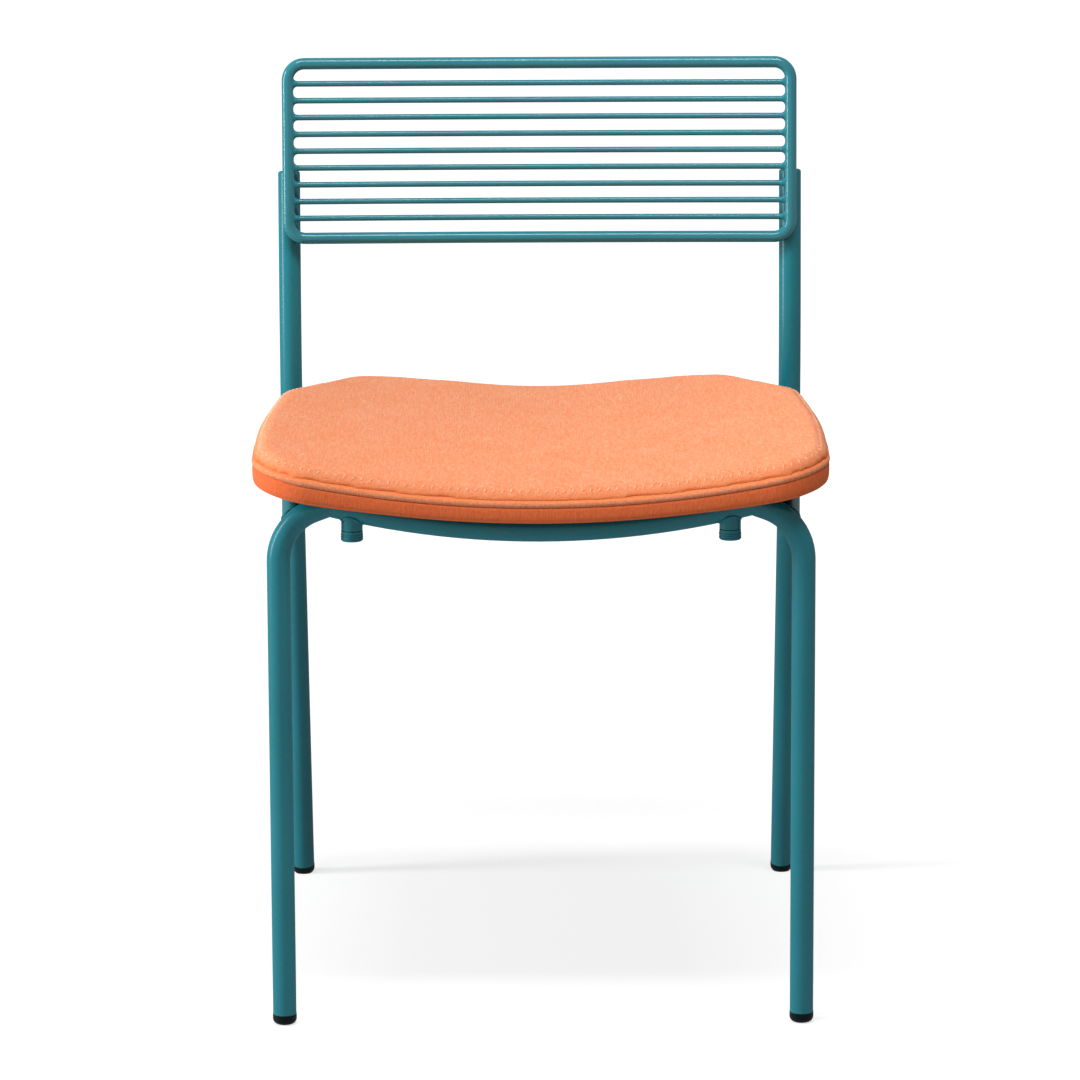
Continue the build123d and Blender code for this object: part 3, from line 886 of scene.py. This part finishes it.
cloth_shape = lay_base_cloth()
cloth_area = sum(face.calc_area() for face in cloth_shape.faces)
base_cloth = finish_piece("seat_underside_cloth", cloth_shape, base_felt)
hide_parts("seat_base_cloth")
thickness = base_cloth.modifiers.new("thickness", "SOLIDIFY")
thickness.thickness = CLOTH_THICK
thickness.offset = 0.0
staples = finish_piece("seat_staples", drive_staples(), zinc_steel)

# %% [markdown]
# The frame is welded together, and its welds show as small swollen rings under the paint. Each
# follows the line in which one tube meets another: rays along the tube's own skin find that
# line on the other piece, and a small ring of points at every hit makes the bead. A ripple in
# its size gives the overlapping puddles. The back hoop lies against the posts, so its welds are
# straight beads in the two grooves between them.

# %% Welds of the tubes
BEAD_SIDES = 8
BEAD_STEPS = 48
RIPPLE = 0.12
PUDDLES = 9
DRIFTS = 4
LAP_PUDDLES = 14
RAIL_BEAD_R = 1.3 * MM
STUB_BEAD_R = 1.0 * MM
LAP_BEAD_R = 1.6 * MM
LAP_STEPS = 24
TIP_DEPTH = 0.6 * MM
SKIN_SHARE = 0.93
RAIL_FRONT = Vector((197.11 * MM, FRONT_Y, 414.08 * MM))
RAIL_REAR = Vector((POST_X, 138.3 * MM, 430.08 * MM))
RAIL_START = 40 * MM
LAP_LENGTH = 30 * MM
LAP_APART = 3.4 * MM
LAP_MIDDLE = Vector((POST_X, 137.9 * MM, 628.1 * MM))


def bead(bm, start, axis, ring_r, bead_r, onto=None):
    """A bead round a tube, where its skin meets another piece, or else a plain ring at its start."""
    axis = axis.normalized()
    across = axis.orthogonal().normalized()
    surface = surface_of(nodes[onto].data) if onto else None
    rims = [[] for side in range(BEAD_SIDES)]
    for step in range(BEAD_STEPS):
        turn = 2 * math.pi * step / BEAD_STEPS
        out = Matrix.Rotation(turn, 3, axis) @ across
        middle = start + out * ring_r
        size = bead_r
        if onto:
            met = surface.ray_cast(start + out * ring_r * SKIN_SHARE, axis)[0]
            middle = met + out * ring_r * (1 - SKIN_SHARE)
            size *= 1 + RIPPLE * (math.sin(turn * PUDDLES) + math.sin(turn * DRIFTS + 1))
        for side, line in enumerate(rims):
            angle = 2 * math.pi * side / BEAD_SIDES
            line.append(middle + (out * math.cos(angle) + axis * math.sin(angle)) * size)
    bridge_rims(rims, closed=True, bm=bm)


def lap_bead(bm, middle, along, length, bead_r):
    """A straight bead with tapered ends."""
    turn = along.to_track_quat("Z", "Y").to_matrix().to_4x4()
    made = bmesh.ops.create_uvsphere(bm, u_segments=BEAD_SIDES, v_segments=LAP_STEPS, radius=1.0)
    for vert in made["verts"]:
        swell_share = 1 + RIPPLE * math.sin(vert.co.z * LAP_PUDDLES)
        flat = vert.co.xy.length
        if flat > 0:
            vert.co.xy *= swell_share * math.sqrt(flat) / flat
    size = Matrix.Diagonal((bead_r, bead_r, length / 2, 1))
    bmesh.ops.transform(bm, matrix=Matrix.Translation(middle) @ turn @ size, verts=made["verts"])


def wire_end(name, way):
    """The middle of a back wire's end, on the side of +X or -X."""
    places = [vert.co for vert in nodes[name].data.vertices]
    tip = max(place.x * way for place in places)
    ends = [place for place in places if place.x * way > tip - TIP_DEPTH]
    return sum(ends, Vector()) / len(ends)


bar_up = (wire_end("back_wire_1", 1) - wire_end("back_wire_9", 1)).normalized()
bar_back = Vector((0, bar_up.z, -bar_up.y))
stub_low, stub_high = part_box("stack_stub_right")
rear_rail_low, rear_rail_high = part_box("rear_rail")
stub_start = Vector(((stub_low.x + stub_high.x) / 2, FRONT_Y, stub_low.z))
rear_rail_start = (rear_rail_low + rear_rail_high) / 2
rear_rail_start.x = rear_rail_high.x - RAIL_START
stub_r = (stub_high.x - stub_low.x) / 2
weld_shape = bmesh.new()
for way, hand in ((-1, "left"), (1, "right")):
    mirror = Matrix.Diagonal((way, 1, 1))
    front, rear = mirror @ RAIL_FRONT, mirror @ RAIL_REAR
    along = (rear - front).normalized()
    sideways, upwards = Vector((way, 0, 0)), Vector((0, 0, 1))
    for start, axis, onto in (
        (front + along * RAIL_START, -along, "front_leg_" + hand),
        (rear - along * RAIL_START, along, "rear_leg_" + hand),
        (mirror @ rear_rail_start, sideways, "side_rail_" + hand),
    ):
        bead(weld_shape, start, axis, TUBE_R, RAIL_BEAD_R, onto)
    bead(weld_shape, mirror @ stub_start, upwards, stub_r, STUB_BEAD_R, "front_rail")
    for apart in (-LAP_APART, LAP_APART):
        place = mirror @ LAP_MIDDLE + Vector((apart, 0, 0))
        lap_bead(weld_shape, place, bar_up, LAP_LENGTH, LAP_BEAD_R)
print("welds of the tubes:", len(weld_shape.faces), "faces")

# %% [markdown]
# The back wires are welded to the hoop's side bars, and paint has run into those corners, so
# each wire flares into its bar. The flare is a fan of rims: from the wire's own circle they
# grow along a quarter arc, tall along the bar and shallow across it, and the last one sinks in.

# %% Flares at the wire ends
WIRE_R = 2.5 * MM
ROD_R = 5 * MM
FLARE_RUN = 3.4 * MM
FLARE_RISE = 3.0 * MM
FLARE_DEPTH = 1.1 * MM
FLARE_RIMS = 6
FLARE_SIDES = 20
FLARE_SINK = 1.0 * MM


def flare_rim(tip, way, grown, sink):
    """One rim of a flare. Grown goes from none at the wire to one at the bar."""
    angle = math.pi / 2 * grown
    back = FLARE_RUN * (1 - math.sin(angle))
    tall = WIRE_R + FLARE_RISE * (1 - math.cos(angle))
    deep = WIRE_R + FLARE_DEPTH * (1 - math.cos(angle))
    line = []
    for side in range(FLARE_SIDES):
        turn = 2 * math.pi * side / FLARE_SIDES
        depth = deep * math.sin(turn)
        reach = (ROD_R - math.sqrt(ROD_R**2 - depth**2)) * grown + sink - back
        middle = tip + Vector((way * reach, 0, 0))
        line.append(middle + bar_up * tall * math.cos(turn) + bar_back * depth)
    return line


for name in nodes:
    if name.startswith("back_wire"):
        for way in (-1, 1):
            tip = wire_end(name, way)
            steps = range(FLARE_RIMS + 1)
            flare = [flare_rim(tip, way, number / FLARE_RIMS, 0) for number in steps]
            flare.append(flare_rim(tip, way, 1, FLARE_SINK))
            bridge_rims(flare, closed=False, bm=weld_shape)
open_edges = [edge for edge in weld_shape.edges if edge.is_boundary]
bmesh.ops.holes_fill(weld_shape, edges=open_edges)
bmesh.ops.recalc_face_normals(weld_shape, faces=weld_shape.faces)
finish_piece("frame_welds", weld_shape, paint)

# %% [markdown]
# The two plastic bumpers under the front rail are moulded with fine ribs, which let the chair
# slide onto one below it without scratching. Each rib is a thin plain ring round the bumper.

# %% Bumper ribs
RIB_COUNT = 3
RIB_R = 0.4 * MM

bumper_low, bumper_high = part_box("stack_bumper_right")
bumper_r = (bumper_high.x - bumper_low.x) / 2
rib_pitch = (stub_low.z - bumper_low.z) / (RIB_COUNT + 2)
rib_shape = bmesh.new()
for way in (-1, 1):
    for number in range(1, RIB_COUNT + 1):
        place = Vector((way * stub_start.x, FRONT_Y, bumper_low.z + number * rib_pitch))
        bead(rib_shape, place, Vector((0, 0, 1)), bumper_r, RIB_R)
finish_piece("bumper_ribs", rib_shape, bumper_plastic)

# %% [markdown]
# The studio is a white sweep with soft boxes. A tall one on the camera's left models the tubes,
# and a long one above the front edge lights the pad and draws a thin line of light along the
# rods. The floor and the surroundings show as white to the camera and in reflections. The floor
# glows a little less near the chair, where the lamps make up the rest, so it still takes a faint
# shadow. For everything else the surroundings are a dim grey.

# %% Light and floor
SURROUND = 0.16
FLOOR_GREY = 0.5
GLOW_NEAR = 0.70
GLOW_FROM = 0.6
GLOW_FULL = 2.4
FLOOR_SIZE = 30.0
WHITE = (1, 1, 1, 1)


def seen_directly(tree):
    """One for rays from the camera, from reflections and through glass, and zero for others."""
    rays = shade(tree, "LightPath").outputs
    shiny = combine(tree, rays["Is Glossy Ray"], rays["Is Transmission Ray"], "MAXIMUM")
    return combine(tree, rays["Is Camera Ray"], shiny, "MAXIMUM")


def white_surroundings():
    """Surroundings that show white and light the chair dimly."""
    world = bpy.data.worlds.new("studio")
    world.use_nodes = True
    tree = world.node_tree
    background = tree.nodes["Background"]
    background.inputs["Color"].default_value = WHITE
    strength = spread(tree, seen_directly(tree), low=0.0, high=1.0, to_low=SURROUND)
    tree.links.new(strength, background.inputs["Strength"])
    scene.world = world


def white_floor():
    """A wide pale floor that shows white, with a faint shadow."""
    bm = bmesh.new()
    bmesh.ops.create_grid(bm, x_segments=1, y_segments=1, size=FLOOR_SIZE)
    mesh = bpy.data.meshes.new("floor")
    bm.to_mesh(mesh)
    bm.free()
    material = bpy.data.materials.new("pale_floor")
    material.use_nodes = True
    tree = material.node_tree
    matt = shade(tree, "BsdfDiffuse", {"Color": (FLOOR_GREY, FLOOR_GREY, FLOOR_GREY, 1)})
    place = shade(tree, "TexCoord").outputs["Object"]
    away = shade(tree, "VectorMath", {0: place}, operation="LENGTH").outputs["Value"]
    level = spread(tree, away, low=GLOW_FROM, high=GLOW_FULL, to_low=GLOW_NEAR)
    strength = combine(tree, seen_directly(tree), level, "MULTIPLY")
    glow = shade(tree, "Emission", {"Color": WHITE, "Strength": strength})
    both = shade(tree, "AddShader", {0: matt.outputs[0], 1: glow.outputs[0]})
    tree.links.new(both.outputs[0], tree.nodes["Material Output"].inputs["Surface"])
    mesh.materials.append(material)
    floor = bpy.data.objects.new("floor", mesh)
    scene.collection.objects.link(floor)


def soft_box(name, place, aim, width, height, power):
    """A rectangular soft light that faces a point."""
    data = bpy.data.lights.new(name, "AREA")
    data.shape = "RECTANGLE"
    data.size = width
    data.size_y = height
    data.energy = power
    lamp = bpy.data.objects.new(name, data)
    turn = (Vector(aim) - Vector(place)).to_track_quat("-Z", "Y").to_matrix().to_4x4()
    lamp.matrix_world = Matrix.Translation(place) @ turn
    scene.collection.objects.link(lamp)


white_surroundings()
white_floor()
soft_box("key_left", place=(-2.86, -0.50, 1.15), aim=(0, 0, 0.5), width=0.45, height=2.0, power=72)
soft_box("top", place=(0.0, -0.9, 2.6), aim=(0, -0.06, 0.45), width=1.6, height=0.5, power=42)
print("studio lit")
